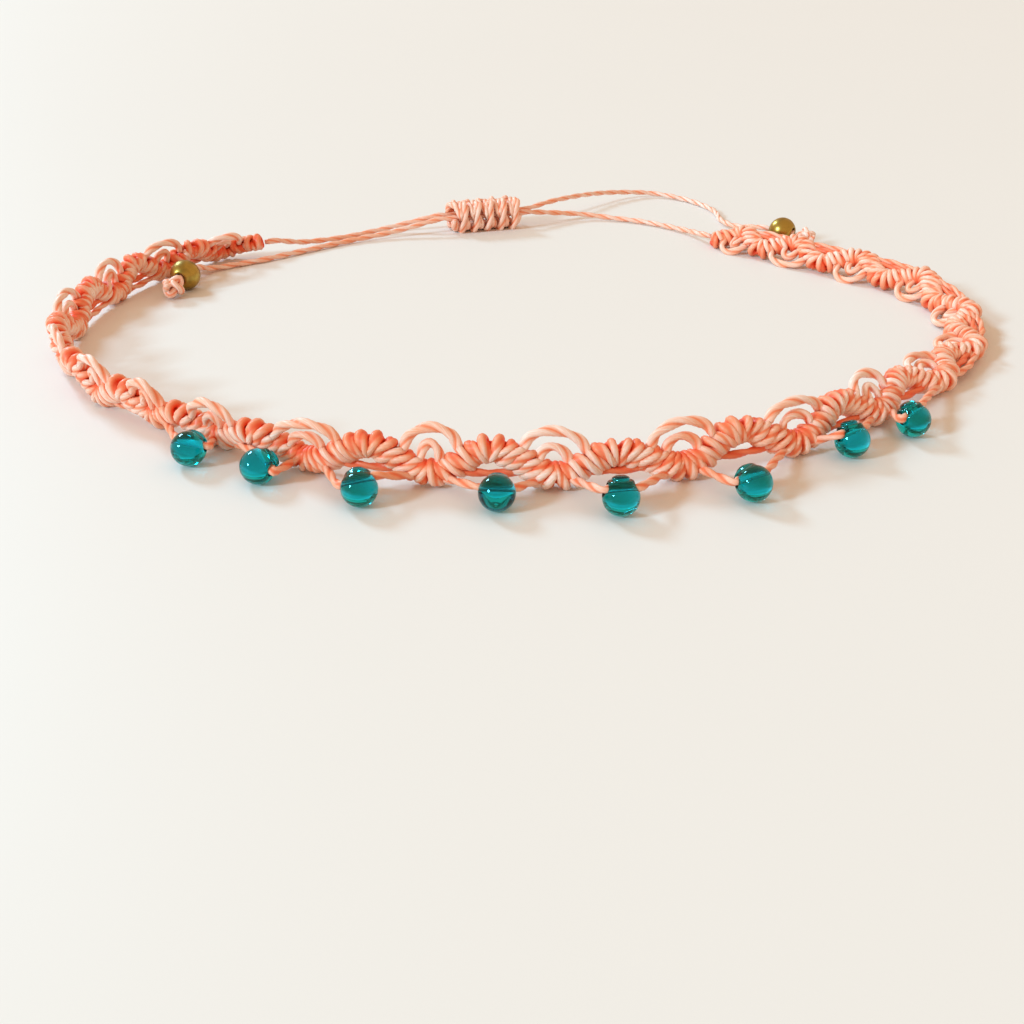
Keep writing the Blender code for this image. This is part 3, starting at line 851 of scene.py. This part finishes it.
def make_set():
    """A plain table, a warm room and two cool windows to the left."""
    build = bmesh.new()
    bmesh.ops.create_grid(build, x_segments=1, y_segments=1, size=2.5)
    mesh = bpy.data.meshes.new("table_surface")
    build.to_mesh(mesh)
    build.free()
    mesh.materials.append(pale_surface())
    add_object("table_surface", mesh)
    world = bpy.data.worlds.new("room")
    bpy.context.scene.world = world
    world.use_nodes = True
    background = world.node_tree.nodes["Background"]
    background.inputs["Color"].default_value = (1.0, 0.718, 0.495, 1.0)
    background.inputs["Strength"].default_value = 0.80
    make_light("window_left", (-3.6, -2.2, 2.05), 0.9, 168.0, (0.48, 0.80, 1.0))
    make_light("window_back", (-1.9, 2.2, 1.9), 0.8, 66.0, (0.46, 0.78, 1.0))
    view = bpy.context.scene.view_settings
    view.view_transform = "Standard"
    view.look = "None"
    view.exposure = 0.0


def stand_for(piece, slot, *nodes):
    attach(piece, "root")
    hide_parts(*nodes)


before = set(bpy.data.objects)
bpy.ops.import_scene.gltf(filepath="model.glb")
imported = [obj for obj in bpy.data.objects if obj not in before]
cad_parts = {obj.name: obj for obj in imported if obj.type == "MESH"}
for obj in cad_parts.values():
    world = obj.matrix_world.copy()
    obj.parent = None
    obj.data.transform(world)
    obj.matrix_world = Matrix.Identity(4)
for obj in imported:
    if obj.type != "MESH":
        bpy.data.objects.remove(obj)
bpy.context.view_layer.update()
make_camera()
make_set()
band = Band()
# Deep red painted shade, the cord's body colour, and pale pink painted highlight
coral = waxed_cord("waxed_cord", (0.90, 0.07, 0.012), (0.95, 0.35, 0.16), (1.0, 0.82, 0.73))
glass = teal_glass()
brass = antique_brass()

left_route = tie_route(band, 0.0, TIE_LEFT_BEFORE, 1, TIE_LEFT_AFTER, BRASS_RIGHT)
right_route = tie_route(band, 1.0, TIE_RIGHT_BEFORE, -1, TIE_RIGHT_AFTER, BRASS_LEFT)
# Each tie's bead and end knot lie at the other side of the closure
for side, route, bead, node in (
    ("left", left_route, BRASS_RIGHT, "right"),
    ("right", right_route, BRASS_LEFT, "left"),
):
    tie = cord_piece(f"tie_cord_{side}", [Run(route)], coral)
    stand_for(tie, "waxed_cord", f"tie_{side}")
    ball = make_brass_bead(f"turned_bead_{node}", bead, brass)
    stand_for(ball, "antique_brass", f"brass_bead_{node}")
    knot = cord_piece(f"stopper_knot_{node}", [end_knot_run(bead)], coral, width=STOPPER_CORD)
    stand_for(knot, "waxed_cord", f"end_knot_{node}")
    length_of(route)

weave, loops = sliding_knot_runs()
closure = cord_piece("closure_knot", [*weave, *loops], coral, width=CLOSURE_CORD)
stand_for(closure, "waxed_cord", "sliding_knot")

hitches, outer_arcs, inner_arcs = knotting(band)
half = len(hitches) // 2
for name, runs, width in (
    ("rib_hitches_left", hitches[:half], HITCH_CORD),
    ("rib_hitches_right", hitches[half:], HITCH_CORD),
    ("outer_arcs", outer_arcs, OUTER_ARC_CORD),
    ("inner_arcs", inner_arcs, INNER_ARC_CORD),
    ("holding_cord", [holding_run(band)], HOLDING_CORD),
    ("rib_core", [core_run(band)], RIB_CORD),
    ("bead_thread", [thread_run(band)], CORD),
):
    stand_for(cord_piece(name, runs, coral, width=width), "waxed_cord", "band")

for number, drop in enumerate(DROPS, 1):
    bead = make_drop(f"glass_drop_{number}", band, drop, glass)
    stand_for(bead, "teal_glass", f"drop_bead_{number}")
